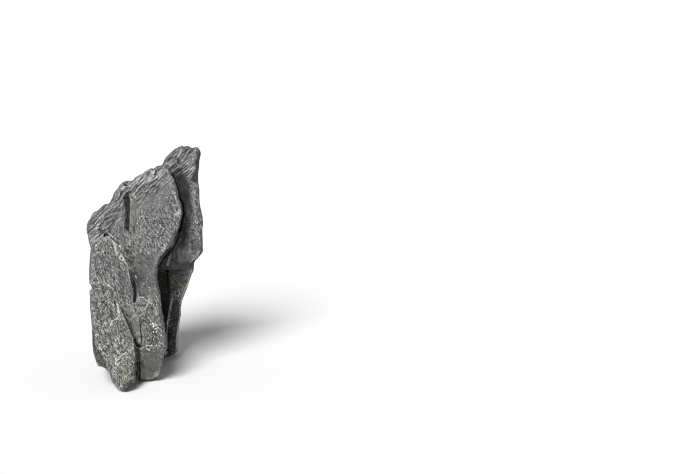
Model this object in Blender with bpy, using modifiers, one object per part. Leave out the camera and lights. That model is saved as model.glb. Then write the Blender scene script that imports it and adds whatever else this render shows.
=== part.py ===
"""A tall piece of seiryu stone: one weathered grey limestone rock that stands on worn feet.

The rock is made of upright plates that grew together. Each plate starts as a flat outline with a thickness.
The plates are fused, then slots, hollows, ledges and pits are worn into the fused body.
Lengths are in millimetres until the mesh is made. X is to the right, Y to the back and Z up.
"""

import math

import bmesh
import bpy
import numpy as np
from mathutils import Vector, noise

MM = 0.001
PLATE_VOXEL = 3.0
PLATE_THICKNESS = 40.0
BODY_VOXEL = 2.0
FINE_VOXEL = 1.3
BROKEN_FACES = 900
TRIANGLES = 9400
FOOT_FLATNESS = 0.3
STONE_COLOUR = (0.18, 0.182, 0.175, 1)

# The slab: the broad face at the front, with a stepped crest, a nicked left edge and a foot with a tip.
SLAB_OUTLINE = [
    (-34.2, 10), (-35.4, 14), (-38, 18.5), (-41.5, 22), (-44.5, 29.5), (-48, 38.5), (-50, 51),
    (-51, 58.5), (-52, 70), (-52, 81), (-52.5, 88), (-50, 90.8), (-47, 92.4), (-49, 93.6), (-52.4, 95.5),
    (-52, 100), (-52, 108), (-51, 117), (-49.7, 128.6), (-51.2, 134.2), (-52.6, 141.8), (-53, 147.4),
    (-51.5, 153), (-49.3, 156.7), (-45.8, 161.8), (-40.2, 163.2), (-36.4, 168.2), (-30.2, 167.8),
    (-27.6, 174), (-25.3, 180), (-20.8, 185.8), (-16.9, 189.4), (-12.2, 190.2), (-7.2, 188.6),
    (-6, 191.8), (-2.1, 195), (1.2, 195), (4.3, 199), (8.1, 201.4), (11.4, 199.2), (13.6, 202.8),
    (16, 203.9), (19.5, 202.7), (24.1, 201.2), (26.2, 198.1), (28.4, 191.9), (30.2, 186.3),
    (31.9, 177.7), (33.3, 171.4), (35.6, 165.9), (35.7, 157.2), (33.2, 150.2), (31.5, 144.8),
    (29, 139.3), (26.5, 133.8), (22.4, 127.6), (19.2, 123.8), (13.6, 118.4), (12.3, 115.3), (11, 109),
    (9.6, 101.2), (10.6, 94.7), (12.3, 84.4), (13.2, 76.4), (13.7, 66), (14.6, 56.4), (16.4, 48.3),
    (17, 41.6), (15.9, 31), (15.8, 24.3), (13.9, 16.6), (12.6, 8.9), (10.4, 1), (3.3, -2.5), (-6, -3),
    (-10.4, 7), (-14, 4.5), (-18, 0), (-22.6, -5), (-26.8, 0), (-31, 5),
]
# The blade: the highest plate, set behind the slab, with a knob for a head and a foot cut short.
BLADE_OUTLINE = [
    (8, 186), (14, 192), (18.7, 197.6), (20.7, 201.6), (22.8, 206.1), (26.9, 211.2), (30.9, 214.3),
    (35.7, 217.4), (39.6, 217.8), (43.1, 217.5), (47.5, 214.7), (50.7, 215.5), (53.8, 215.4), (55.6, 212),
    (55.9, 208.6), (54.4, 203.3), (53.9, 193.6), (52.8, 183.9), (53.7, 174.1), (53.6, 164.3), (54.6, 156.1),
    (55.2, 149.5), (55.6, 141.3), (55.2, 134.7), (56, 124.7), (57.6, 114.5), (56.5, 109), (53, 104),
    (49, 100.6), (37.7, 100), (24.2, 99.5), (5, 98.5), (-8, 110), (-10, 150), (-2, 178),
]
# The lip: the right border of the blade, which stands forward beside the slab and closes the cleft to a slot.
LIP_OUTLINE = [
    (42.6, 196), (42.2, 185), (42, 172), (41.6, 153), (41, 142), (37, 133), (32, 124), (30, 115), (32, 106),
    (42, 103.5), (53, 106), (54.6, 113), (53.6, 124), (53.8, 143), (53, 150), (51.6, 164), (50.8, 181),
    (50.4, 195), (49, 203), (44.5, 203),
]
# The lower blade: set behind the foot of the blade, it narrows to the ground.
LOWER_BLADE_OUTLINE = [
    (-6, 118), (20, 122), (44, 112), (47.7, 99.2), (47.5, 91.1), (44.4, 84.4), (42.8, 79.4), (40.6, 72.7),
    (38.8, 66.8), (37, 60.2), (36, 52.6), (35.6, 45.7), (34.9, 40.6), (33.5, 32.1), (32.2, 24.5),
    (31.5, 15), (31.4, 8), (26, 2), (18.8, -2), (10, -3), (-6, -3), (-14, 40),
]
# The back: a thick plate that ties the others together and carries most of the weight.
BACK_OUTLINE = [
    (-42, -4), (-48.8, -4), (-51.4, 4), (-52.6, 19.5), (-51, 35), (-46, 58), (-43.5, 80), (-44, 112),
    (-45, 140), (-40, 150), (-28, 160), (-16, 172), (-4, 180), (10, 190), (17, 188), (15, 172), (9, 150),
    (7, 110), (8, 70), (10, 40), (9, 10), (6, -4), (-10, -4), (-25, -2),
]
# Each profile gives the depths of a plate's front and back faces at some heights. Edge is the width of the
# border that rounds off on the left and on the right, and rim is the share of the thickness that it ends at.
PLATES = {
    "slab": {
        "outline": SLAB_OUTLINE,
        "profile": [
            (-10, 7, 36), (20, 6, 40), (60, 7, 46), (110, 12, 54), (150, 17, 60), (180, 22, 62),
            (205, 30, 60),
        ],
        "edge": (10, 4),
        "rim": 0.55,
    },
    "blade": {
        "outline": BLADE_OUTLINE,
        "profile": [
            (98, 60, 96), (110, 49, 96), (130, 47, 96), (150, 52, 94), (175, 55, 92), (190, 57, 90),
            (218, 63, 84),
        ],
        "edge": (12, 10),
        "rim": 0.45,
    },
    "lip": {
        "outline": LIP_OUTLINE,
        "profile": [
            (100, 60, 90), (108, 47, 90), (120, 42, 90), (135, 40, 90), (170, 39, 88), (190, 43, 86),
            (206, 58, 80),
        ],
        "edge": (3, 6),
        "rim": 0.6,
    },
    "lower_blade": {
        "outline": LOWER_BLADE_OUTLINE,
        "profile": [(-5, 82, 122), (30, 80, 114), (80, 78, 108), (120, 80, 100)],
        "edge": (8, 8),
        "rim": 0.42,
    },
    "back": {
        "outline": BACK_OUTLINE,
        "profile": [
            (-5, 38, 106), (40, 34, 112), (90, 34, 114), (130, 38, 106), (160, 42, 90), (185, 46, 72),
            (200, 50, 66),
        ],
        "edge": (26, 20),
        "rim": 0.45,
    },
}
# Centres and half lengths of the nick in the left edge, the arched pit and the pit over the groove. Each runs
# in along a line that falls towards the back by the angle of fall.
NICK_FALL = math.radians(14)
NICKS = [
    ((-56, 28, 92.8), (8.4, 42, 3.0)),
    ((-34.8, 13, 147.2), (3.6, 8, 2.3)),
    ((-11, 8, 47), (1.9, 7, 3.4)),
]
# Centres and half lengths of the hollows under the stone and under its left flank.
HOLLOWS = [
    ((-14, 60, -3), (30, 24, 12)),
    ((6, 74, -4), (16, 18, 14)),
    ((-52, 46, 0), (16, 34, 34)),
    ((-54, 12, 20), (14, 22, 36)),
    ((25, 72, -8), (17, 24, 16)),
]


def clear_scene():
    for thing in list(bpy.data.objects):
        bpy.data.objects.remove(thing)


def evaluated_mesh(thing):
    """The mesh of an object with its modifiers applied."""
    bpy.context.view_layer.update()
    graph = bpy.context.evaluated_depsgraph_get()
    return bpy.data.meshes.new_from_object(thing.evaluated_get(graph))


def points_of(mesh):
    flat = np.empty(len(mesh.vertices) * 3)
    mesh.vertices.foreach_get("co", flat)
    return flat.reshape(-1, 3) / MM


def normals_of(mesh):
    flat = np.empty(len(mesh.vertices) * 3)
    mesh.vertices.foreach_get("normal", flat)
    return flat.reshape(-1, 3)


def set_points(mesh, points):
    mesh.vertices.foreach_set("co", (points * MM).ravel())
    mesh.update()


def new_object(name, mesh, collection):
    thing = bpy.data.objects.new(name, mesh)
    collection.objects.link(thing)
    return thing


def remeshed(mesh, voxel, collection):
    """The mesh made again with even faces of the voxel's size, and overlapping shapes fused."""
    thing = new_object("remeshed", mesh, collection)
    remesh = thing.modifiers.new("Remesh", "REMESH")
    remesh.mode = "VOXEL"
    remesh.voxel_size = voxel * MM
    made = evaluated_mesh(thing)
    bpy.data.objects.remove(thing)
    return made


def smoothed(mesh, rounds, collection):
    thing = new_object("smoothed", mesh, collection)
    smooth = thing.modifiers.new("Smooth", "SMOOTH")
    smooth.factor = 0.5
    smooth.iterations = rounds
    made = evaluated_mesh(thing)
    bpy.data.objects.remove(thing)
    return made


def ease(value, low=0.0, high=1.0):
    """0 at low, 1 at high, and a smooth change between. Low may be over high."""
    share = np.clip((value - low) / (high - low), 0, 1)
    return share * share * (3 - 2 * share)


def path_distance(points, path):
    """How far each point is from an open line, how far along it that is (0 to 1), and on which side."""
    corners = np.array(path, float)
    lengths = np.linalg.norm(np.diff(corners, axis=0), axis=1)
    best, along, side = np.full(len(points), 1e9), np.zeros(len(points)), np.ones(len(points))
    done = 0.0
    for start, end, length in zip(corners, corners[1:], lengths):
        run = end - start
        share = np.clip(((points - start) @ run) / (run @ run), 0, 1)
        off = points - start - share[:, None] * run
        gap = np.linalg.norm(off, axis=1)
        nearer = gap < best
        along = np.where(nearer, (done + share * length) / lengths.sum(), along)
        side = np.where(nearer, np.sign(run[0] * off[:, 1] - run[1] * off[:, 0]), side)
        best = np.minimum(best, gap)
        done += length
    return best, along, side


def inside_distance(points, outline):
    """How far each point is inside a closed outline, and negative outside it."""
    corners = np.array(outline, float)
    best, _, _ = path_distance(points, list(corners) + [corners[0]])
    inside = np.zeros(len(points), bool)
    for start, end in zip(corners, np.roll(corners, -1, axis=0)):
        crosses = (start[1] > points[:, 1]) != (end[1] > points[:, 1])
        rise = end[1] - start[1] if end[1] != start[1] else 1.0
        inside ^= crosses & (points[:, 0] < start[0] + (points[:, 1] - start[1]) * (end[0] - start[0]) / rise)
    return np.where(inside, best, -best)


def flat_plate(outline, thickness, collection):
    """A filled outline with a thickness, upright on the XZ plane and centred on Y 0."""
    curve = bpy.data.curves.new("plate", "CURVE")
    curve.dimensions = "2D"
    curve.fill_mode = "BOTH"
    curve.extrude = thickness * MM / 2
    spline = curve.splines.new("POLY")
    spline.points.add(len(outline) - 1)
    for point, (x, z) in zip(spline.points, outline):
        point.co = (x * MM, z * MM, 0, 1)
    spline.use_cyclic_u = True
    thing = bpy.data.objects.new("plate", curve)
    collection.objects.link(thing)
    thing.rotation_euler = (math.radians(90), 0, 0)
    mesh = evaluated_mesh(thing)
    mesh.transform(thing.matrix_world)
    bpy.data.objects.remove(thing)
    body = bmesh.new()
    body.from_mesh(mesh)
    bmesh.ops.remove_doubles(body, verts=body.verts, dist=0.05 * MM)
    bmesh.ops.recalc_face_normals(body, faces=body.faces)
    body.to_mesh(mesh)
    body.free()
    return mesh


def bend_feet(points):
    """The slab splits into two feet: the left one comes forward to its tip and the right one goes back."""
    x, z = points[:, 0], points[:, 2]
    points[:, 1] += 17 * ease(x, -12, -4) * ease(z, 50, 4)
    points[:, 1] -= 14 * ease(x, -8, -16) * ease(z, 46, 0)


def plate_mesh(facts, collection):
    """One plate, and its points shaped: thick in the middle and thinner towards its outline."""
    heights, fronts, backs = np.array(facts["profile"], float).T
    mesh = remeshed(flat_plate(facts["outline"], PLATE_THICKNESS, collection), PLATE_VOXEL, collection)
    points = points_of(mesh)
    inside = inside_distance(points[:, [0, 2]], facts["outline"])
    edge = facts["edge"][0] + (facts["edge"][1] - facts["edge"][0]) * ease(points[:, 0], -10, 15)
    fullness = np.sqrt(1 - (1 - np.clip(inside / edge, 0, 1)) ** 2)
    swell = facts["rim"] + (1 - facts["rim"]) * fullness
    front, back = np.interp(points[:, 2], heights, fronts), np.interp(points[:, 2], heights, backs)
    points[:, 1] = (front + back) / 2 + points[:, 1] / PLATE_THICKNESS * (back - front) * swell
    return mesh, points


def joined(meshes):
    body = bmesh.new()
    for mesh in meshes:
        body.from_mesh(mesh)
    made = bpy.data.meshes.new("stone")
    body.to_mesh(made)
    body.free()
    return made


def rough(points, size, seed, stretch=(1, 1, 1)):
    """Smooth random heights between about -1 and 1, with lumps of the given size."""
    places = points / (size * np.array(stretch)) + seed * 17.31
    return np.array([noise.noise(Vector(place)) for place in places])


def front_relief(points):
    """How far the front of the slab is worn in at each place, negative where it bulges out."""
    xz = points[:, [0, 2]]
    x, z = points[:, 0], points[:, 2]
    depth = np.zeros(len(points))
    # The upper half bulges forward on the right, and the lower left plate stands proud of the valley.
    depth -= 5.0 * np.exp(-(((x - 14) / 20) ** 2 + ((z - 160) / 26) ** 2))
    depth -= 3.5 * np.exp(-(((x + 34) / 14) ** 2 + ((z - 112) / 26) ** 2))
    plate_edge = [
        (-40, 148), (-29.2, 141.9), (-22.3, 132.3), (-16.3, 119.8), (-15.1, 113.1), (-14, 103.5), (-12, 96.7),
        (-11.6, 87.2), (-10.1, 80),
    ]
    gap, along, side = path_distance(xz, plate_edge)
    fade = ease(along, 0.1, 0.45) * ease(along, 1.0, 0.9)
    depth += 6.0 * fade * np.where(side > 0, np.exp(-((gap / 7) ** 2)) * ease(gap, 0, 1.6), 0)
    depth -= 1.5 * fade * np.where(side < 0, np.exp(-((gap / 5) ** 2)), 0)
    # The valley is smooth and runs down the middle to the right edge.
    gap, _, _ = path_distance(xz, [(-4, 126), (-1, 107), (2, 88)])
    depth += 4.5 * np.exp(-((gap / 11) ** 2))
    # The tall slot in the upper half, steep on its left and soft on its right.
    gap, _, side = path_distance(xz, [(-13.4, 180), (-13.2, 165), (-13.2, 150)])
    depth += 10.0 * np.where(side > 0, ease(gap, 9.0, 0.5), ease(gap, 3.6, 2.0))
    # The diagonal trough, with a ridge along its left side.
    gap, _, _ = path_distance(xz, [(-22, 80), (-17, 65.2), (-12.5, 50)])
    depth += 4.2 * np.exp(-((gap / 5.0) ** 2))
    gap, _, _ = path_distance(xz, [(-27, 82), (-22.5, 66), (-15, 50)])
    depth -= 1.6 * np.exp(-((gap / 3.0) ** 2))
    # The groove between the two feet, which deepens towards the ground.
    groove = [(-6.0, 64), (-5.2, 52), (-6.7, 40.5), (-8.5, 24), (-10.4, 2), (-11, -10)]
    gap, along, _ = path_distance(xz, groove)
    depth += (1.0 + 10.0 * ease(along, 0.15, 0.8)) * np.exp(-((gap / (1.8 + 2.8 * along)) ** 2))
    # A break that runs in from the nick in the left edge.
    gap, _, _ = path_distance(xz, [(-54, 93), (-46, 93.5), (-37, 94.3), (-27, 94.6)])
    depth += 2.2 * np.exp(-((gap / 1.8) ** 2))
    return depth


def cleft_relief(points):
    """How far the faces of the two blades are worn in, negative where they bulge out."""
    xz = points[:, [0, 2]]
    x, z = points[:, 0], points[:, 2]
    depth = -7.0 * np.exp(-(((x - 36) / 16) ** 2 + ((z - 206) / 10) ** 2))
    # A long hollow beside the slab, deepest under the knob, and a thin sliver of rock that stands in it.
    gap, along, _ = path_distance(xz, [(31, 187), (34, 170), (34, 148)])
    depth += (9.0 - 6.0 * along) * np.exp(-((gap / 7) ** 2))
    gap, _, _ = path_distance(xz, [(28.5, 130), (24.5, 114.6), (21.6, 103)])
    depth -= 6.0 * np.exp(-((gap / 2.6) ** 2))
    # The lower blade is a fin: it falls away on the left of its front edge.
    depth += 14 * ease(x, 20.5, 15) * ease(z, 88, 70)
    return depth


def back_relief(points):
    """How far the back is worn in, negative where it bulges out."""
    xz = points[:, [0, 2]]
    x, z = points[:, 0], points[:, 2]
    depth = -6.0 * np.exp(-(((x + 22) / 17) ** 2 + ((z - 112) / 22) ** 2))
    depth += 7.0 * np.exp(-(((x + 30) / 15) ** 2 + ((z - 66) / 17) ** 2))
    gap, along, _ = path_distance(xz, [(-8, 176), (-4, 150), (-8, 122), (0, 96), (-2, 66)])
    depth += (9.0 - 5.0 * along) * np.exp(-((gap / (4.5 + 2 * along)) ** 2))
    gap, along, _ = path_distance(xz, [(-46, 92), (-28, 86), (-12, 74), (-4, 60)])
    depth += 5.0 * np.exp(-((gap / 3.2) ** 2))
    gap, _, _ = path_distance(xz, [(-16, 40), (-19, 20), (-16, 0)])
    depth += 7.0 * np.exp(-((gap / 5) ** 2))
    return depth


def left_relief(points):
    """How far the left side is worn in, negative where it bulges out."""
    yz = points[:, [1, 2]]
    gap, along, _ = path_distance(yz, [(62, 170), (56, 140), (60, 110), (54, 78), (58, 50)])
    depth = 5.5 * np.exp(-((gap / 4) ** 2))
    gap, _, _ = path_distance(yz, [(100, 128), (84, 118), (66, 112)])
    depth += 4.5 * np.exp(-((gap / 3.2) ** 2))
    depth -= 4.0 * np.exp(-(((points[:, 1] - 84) / 14) ** 2 + ((points[:, 2] - 92) / 14) ** 2))
    depth += 5.0 * np.exp(-(((points[:, 1] - 90) / 10) ** 2 + ((points[:, 2] - 50) / 14) ** 2))
    return depth


def wear(mesh):
    """Moves the points of the fused body: the named features of the front, then lumps on every side."""
    points, normals = points_of(mesh), normals_of(mesh)
    on_slab = ease(points[:, 1] - 0.09 * points[:, 2], 34, 24)
    in_cleft = ease(points[:, 1], 38, 46) * ease(points[:, 0], 8, 14)
    facing = ease(-normals[:, 1], 0.15, 0.6)
    points[:, 1] += front_relief(points) * facing * on_slab
    points[:, 1] += cleft_relief(points) * facing * in_cleft
    behind = ease(points[:, 1], 40, 66)
    points[:, 1] -= back_relief(points) * ease(normals[:, 1], 0.2, 0.6) * ease(points[:, 0], 12, 4) * behind
    points[:, 0] += left_relief(points) * ease(-normals[:, 0], 0.2, 0.6) * ease(points[:, 0], -20, -32)
    lumps = (0.7 + 1.6 * behind) * rough(points, 32, 1) + (0.6 + 0.8 * behind) * rough(points, 14, 2)
    creases = 3.4 * behind * ease(np.abs(rough(points, 30, 7, (1, 1, 1.7))), 0.11, 0.0)
    points += normals * (lumps - creases + 0.9)[:, None]
    set_points(mesh, points)


def broken(mesh, collection):
    """Gives the sides and the back the flat, angular faces of broken rock, and leaves the front as it is."""
    thing = new_object("broken", mesh, collection)
    fewer = thing.modifiers.new("Fewer", "DECIMATE")
    fewer.ratio = BROKEN_FACES / (2 * len(mesh.polygons))
    faces = new_object("faces", evaluated_mesh(thing), collection)
    thing.modifiers.clear()
    points = points_of(mesh)
    share = 0.25 + 0.75 * ease(points[:, 1], 34, 52)
    group = thing.vertex_groups.new(name="behind")
    for index, weight in enumerate(share):
        group.add([index], float(weight), "REPLACE")
    wrap = thing.modifiers.new("Wrap", "SHRINKWRAP")
    wrap.wrap_method = "NEAREST_SURFACEPOINT"
    wrap.target = faces
    wrap.vertex_group = "behind"
    made = evaluated_mesh(thing)
    bpy.data.objects.remove(thing)
    bpy.data.objects.remove(faces)
    return made


def hollowed(mesh, hollows, fall, collection):
    """Cuts rounded hollows out of the body, each tilted down towards the back by the angle of fall."""
    thing = new_object("hollowed", mesh, collection)
    cutters = []
    for centre, half in hollows:
        bowl = bpy.data.meshes.new("hollow")
        ball = bmesh.new()
        bmesh.ops.create_icosphere(ball, subdivisions=3, radius=1.0)
        ball.to_mesh(bowl)
        ball.free()
        set_points(bowl, points_of(bowl) * MM * np.array(half))
        cutters.append(new_object("hollow", bowl, collection))
        cutters[-1].location = Vector(centre) * MM
        cutters[-1].rotation_euler = (-fall, 0, 0)
        cut = thing.modifiers.new("Hollow", "BOOLEAN")
        cut.operation = "DIFFERENCE"
        cut.solver = "EXACT"
        cut.object = cutters[-1]
    made = evaluated_mesh(thing)
    for cutter in [thing] + cutters:
        bpy.data.objects.remove(cutter)
    return made


def ledges(mesh):
    """Adds the bedding, in narrow steps that rise to the right, strongest on the crest and the knob."""
    points, normals = points_of(mesh), normals_of(mesh)
    rise = math.radians(42)
    across = -math.sin(rise) * points[:, 0] + math.cos(rise) * points[:, 2] + 0.25 * points[:, 1]
    steps = across / 7.0 + 1.1 * rough(points, 24, 3)
    share = steps - np.floor(steps)
    gap, _, _ = path_distance(points[:, [0, 2]], [(-50, 158), (-24, 182), (12, 199), (30, 214), (54, 214)])
    bedded = 0.25 + 0.75 * ease(gap, 26, 12)
    height = 1.8 * bedded * (ease(share, 0.6, 1.0) - share + 0.2)
    height += 0.8 * rough(points, 6.0, 4)
    points += normals * height[:, None]
    set_points(mesh, points)


def stood(mesh, collection):
    """Cuts the feet flat where they meet the ground."""
    thing = new_object("stood", mesh, collection)
    ground = bpy.data.meshes.new("ground")
    block = bmesh.new()
    bmesh.ops.create_cube(block, size=1.0)
    block.to_mesh(ground)
    block.free()
    points = points_of(ground) * MM * np.array([400.0, 400.0, 60.0]) + np.array([0.0, 50.0, -30.0])
    set_points(ground, points)
    cutter = new_object("ground", ground, collection)
    cut = thing.modifiers.new("Ground", "BOOLEAN")
    cut.operation = "DIFFERENCE"
    cut.solver = "EXACT"
    cut.object = cutter
    made = evaluated_mesh(thing)
    bpy.data.objects.remove(thing)
    bpy.data.objects.remove(cutter)
    return made


def lightened(mesh, collection):
    """The same body with fewer, larger triangles."""
    thing = new_object("lightened", mesh, collection)
    triangles = thing.modifiers.new("Triangles", "TRIANGULATE")
    triangles.min_vertices = 4
    fewer = thing.modifiers.new("Fewer", "DECIMATE")
    fewer.ratio = TRIANGLES / (2 * len(mesh.polygons))
    made = evaluated_mesh(thing)
    bpy.data.objects.remove(thing)
    return made


def settle(mesh):
    """Makes the feet quite flat, and moves the origin to the middle of the underside of the stone's box."""
    points = points_of(mesh)
    points[points[:, 2] < FOOT_FLATNESS, 2] = 0
    low, high = points.min(axis=0), points.max(axis=0)
    print("moved by", [round(float(v), 2) for v in ((low + high) / 2)[:2]], round(float(low[2]), 2))
    points -= np.array([(low[0] + high[0]) / 2, (low[1] + high[1]) / 2, low[2]])
    set_points(mesh, points)


def main():
    clear_scene()
    parts = bpy.data.collections.new("seiryu_stone")
    bpy.context.scene.collection.children.link(parts)
    plates = []
    for name, facts in PLATES.items():
        mesh, points = plate_mesh(facts, parts)
        if name == "slab":
            bend_feet(points)
        set_points(mesh, points)
        plates.append(mesh)
    body = remeshed(joined(plates), BODY_VOXEL, parts)
    body = smoothed(hollowed(body, HOLLOWS, 0.0, parts), 2, parts)
    body = remeshed(body, BODY_VOXEL, parts)
    body = smoothed(body, 2, parts)
    wear(body)
    body = remeshed(body, BODY_VOXEL, parts)
    body = remeshed(broken(body, parts), BODY_VOXEL, parts)
    ledges(body)
    body = remeshed(hollowed(body, NICKS, NICK_FALL, parts), FINE_VOXEL, parts)
    body = lightened(stood(body, parts), parts)
    settle(body)
    stone = new_object("stone", body, parts)
    material = bpy.data.materials.new("stone")
    material.use_nodes = True
    shader = material.node_tree.nodes["Principled BSDF"]
    shader.inputs["Base Color"].default_value = STONE_COLOUR
    shader.inputs["Roughness"].default_value = 0.85
    body.materials.append(material)
    print("faces", len(body.polygons), "size", [round(v / MM, 1) for v in stone.dimensions])


main()
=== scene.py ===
"""The looks of the seiryu stone: weathered grey limestone, striated and veined, built over its CAD solid.

Features of the front have their places in pixels of the 679 by 474 photograph. The function seen() says where
each point of the stone falls in it. Lengths are in millimetres until the mesh is made.
"""

import math
from functools import partial

import bpy
import numpy as np
from mathutils import Matrix, Vector
from mathutils.bvhtree import BVHTree
from mathutils.kdtree import KDTree


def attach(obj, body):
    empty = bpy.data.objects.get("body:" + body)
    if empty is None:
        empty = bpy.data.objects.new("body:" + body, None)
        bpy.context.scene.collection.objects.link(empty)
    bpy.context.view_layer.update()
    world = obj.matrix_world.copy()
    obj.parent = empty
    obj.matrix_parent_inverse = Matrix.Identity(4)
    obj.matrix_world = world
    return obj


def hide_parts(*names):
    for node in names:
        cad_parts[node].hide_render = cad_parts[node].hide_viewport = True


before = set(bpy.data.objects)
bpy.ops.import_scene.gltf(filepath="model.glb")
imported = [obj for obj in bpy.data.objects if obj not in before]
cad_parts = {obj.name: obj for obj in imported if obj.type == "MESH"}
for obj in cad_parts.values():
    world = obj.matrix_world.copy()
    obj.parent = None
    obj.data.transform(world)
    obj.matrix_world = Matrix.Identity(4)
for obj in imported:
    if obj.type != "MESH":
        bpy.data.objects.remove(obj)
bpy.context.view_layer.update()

MM = 0.001
# The fine mesh: its voxels, the triangles that are kept, and the height over the floor where relief is full.
VOXEL = 0.86
TRIANGLES = 196000
GROUND_CLEAR = 2.5
# Broad flat chips: their size, their share, how far they move a point, and how they are drawn out.
CHIP_SIZE = 15.0
CHIP_SHARE = 0.55
CHIP_LIMIT = 2.2
CHIP_STRETCH = (1.0, 1.0, 1.6)
# How the bedding runs, in degrees from the horizontal as seen from the front. Over 0 it rises to the right.
CREST_BEDS = 43
CREST_GRAIN = 42
FALLING_GRAIN = -56
UPRIGHT_GRAIN = -64
CROSS_GRAIN = 46
LEFT_GRAIN = -80
SLIT_GRAIN = -62
# How the free space in front of each point is measured, to find where shade is painted into clefts.
OPEN_RAYS = 40
OPEN_REACH = 70.0
GOLDEN_ANGLE = 2.39996
# The heights and depths of a surface that parts the slab at the front from the blades behind it.
CLEFT_HEIGHTS = (98, 106, 150, 180, 205)
CLEFT_DEPTHS = (-1.5, -20.0, -15.4, -12.4, -9.4)

# The photograph's camera, in the stone's frame.
IMAGE_SIZE = (679, 474)
FOCAL_PIXELS = 1531.0
SENSOR_WIDTH = 36.0
CAMERA_PLACE = np.array([-1.79, -1429.27, 457.88])
CAMERA_YAW = math.radians(7.4613)
CAMERA_PITCH = math.radians(12.88)
PIXEL_MM = 0.95

# The studio light: one soft key from the upper left, and an even sky.
KEY_AZIMUTH = -24
KEY_ELEVATION = 44
KEY_SPREAD = 26
KEY_STRENGTH = 5.25
SKY_STRENGTH = 0.25
# The floor and the backdrop, in metres: the floor's radius, and the backdrop's bend and top.
FLOOR_RADIUS = 3.2
BACKDROP_BEND = 0.8
BACKDROP_TOP = 1.6
FLOOR_TONE = 0.665
BACKDROP_LIGHT = 0.9


def camera_axes():
    """The camera's right, up and forward directions."""
    yaw, pitch = CAMERA_YAW, CAMERA_PITCH
    forward = np.array([math.sin(yaw) * math.cos(pitch), math.cos(yaw) * math.cos(pitch), -math.sin(pitch)])
    right = np.array([math.cos(yaw), -math.sin(yaw), 0.0])
    return right, np.cross(right, forward), forward


RIGHT, UP, FORWARD = camera_axes()


def seen(points):
    """Where each point falls in the photograph, in pixels from its top left corner."""
    ray = points - CAMERA_PLACE
    far = ray @ FORWARD
    across = IMAGE_SIZE[0] / 2 + FOCAL_PIXELS * (ray @ RIGHT) / far
    down = IMAGE_SIZE[1] / 2 - FOCAL_PIXELS * (ray @ UP) / far
    return np.stack([across, down], axis=1)


# The outlines of the slab and of the blades behind it.
LEFT_SIDE = [
    (133.3, 383.6), (127.5, 389.4), (124.2, 391), (120, 389.4), (115.8, 386), (111.7, 381),
    (110.4, 374.4), (108, 371.6), (104.2, 367.2), (101.3, 368), (97.9, 367), (95.6, 360), (93.4, 353),
    (92.4, 345), (92.2, 336), (92, 328), (91, 318), (90.3, 310), (90, 300), (89.4, 291), (92.2, 288.4),
    (94.6, 286.3), (92.4, 285.2), (89.3, 283.6), (89.3, 278), (89.1, 270), (89.7, 260), (90.8, 248),
    (89, 243), (87.9, 236), (86.5, 230), (86.8, 225), (88.3, 220.8), (90.4, 219), (91.4, 215),
    (93.6, 211.6), (96.6, 211.4), (99.6, 209), (103.6, 204.4), (109.8, 203.6), (111, 200), (112.8, 197.4),
    (113.4, 193.6), (115.4, 190.6), (118, 188.6), (119.4, 185.2), (124, 181.4), (129.2, 180.6),
    (134, 180.6), (134.4, 177.8), (138, 175.6), (140, 174.6), (143.3, 174.4), (144.4, 171.4),
    (146.7, 170.4), (150.4, 167.8), (154.2, 169.4), (156.2, 166.2), (159.2, 165.6),
]
SLAB_RIGHT_SIDE = [
    (163, 165.6), (168, 168.5), (170.4, 171.7), (172.9, 178.3), (175.2, 184.2), (177.1, 193.3),
    (177.7, 199.2), (181.2, 205.6), (181.4, 215), (179.4, 222.5), (177.6, 228.3), (175, 234.2),
    (172.5, 240), (168.3, 246.7), (165, 250.8), (159.2, 256.5), (157.7, 260), (156.6, 266.7),
    (155.2, 275), (156.4, 281.7), (158.6, 292.5), (159.8, 300.8), (160.6, 311.7), (162, 321.7),
    (164, 330), (165, 337), (164.3, 348), (164.1, 355), (162.5, 363), (161.2, 371), (159, 377.5),
    (151.7, 379.8), (140, 380.6), (137.5, 379.6),
]
KNOB_AND_RIGHT_SIDE = [
    (159.2, 165.6), (161.7, 166.6), (163.6, 162.2), (165.6, 157.5), (168.6, 154.4), (170, 152),
    (172.6, 151), (174.2, 148.8), (177.4, 147.4), (179.2, 145.4), (181.6, 144.6), (183.3, 146),
    (186, 144.8), (190, 146.8), (191.7, 148.6), (195, 147.2), (198.5, 147.3), (200.2, 150.8),
    (200.9, 154.4), (199.4, 160), (199, 170), (198, 180), (199.4, 190), (199.4, 200), (200.6, 208.3),
    (202.3, 215), (203.1, 223.3), (202.3, 229.6), (202.7, 240), (202.7, 248), (203.2, 251), (201, 254.4),
    (198, 258.2), (195, 260.8), (193.8, 264), (193.8, 270), (190.8, 276.7), (189.2, 281.7),
    (187.1, 288.3), (184.6, 294.2), (182.1, 300.8), (180.8, 308.3), (180.8, 315), (180, 320),
    (178.8, 328.3), (177.9, 335.8), (177.5, 345), (177.9, 350.8), (173, 354.4), (166.7, 357.3),
]
SLAB_OUTLINE = LEFT_SIDE + SLAB_RIGHT_SIDE
WHOLE_OUTLINE = LEFT_SIDE + KNOB_AND_RIGHT_SIDE[1:] + SLAB_RIGHT_SIDE[-8:]
# The left border of the lower blade: heights and places across, in pixels.
LOW_BORDER_DOWN = (262, 298, 310, 325, 340, 358)
LOW_BORDER_ACROSS = (171.5, 171.6, 169.9, 167.3, 166.3, 165.9)
# The front's own features: outlines of the tall slot and the arched pit.
SLOT = [
    (127, 195), (124.6, 197), (124, 202), (125.3, 206), (125.8, 213), (125.4, 219), (124.5, 222),
    (125.8, 228), (128.4, 231.6), (129.7, 228), (130, 216), (130.2, 204), (129.5, 197),
]
ARCH_PIT = [
    (103, 237.4), (103.4, 235), (105.5, 233.6), (108, 233.4), (109.6, 235), (108.6, 236.6), (106, 236.4),
    (104.6, 237.6),
]
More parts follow.
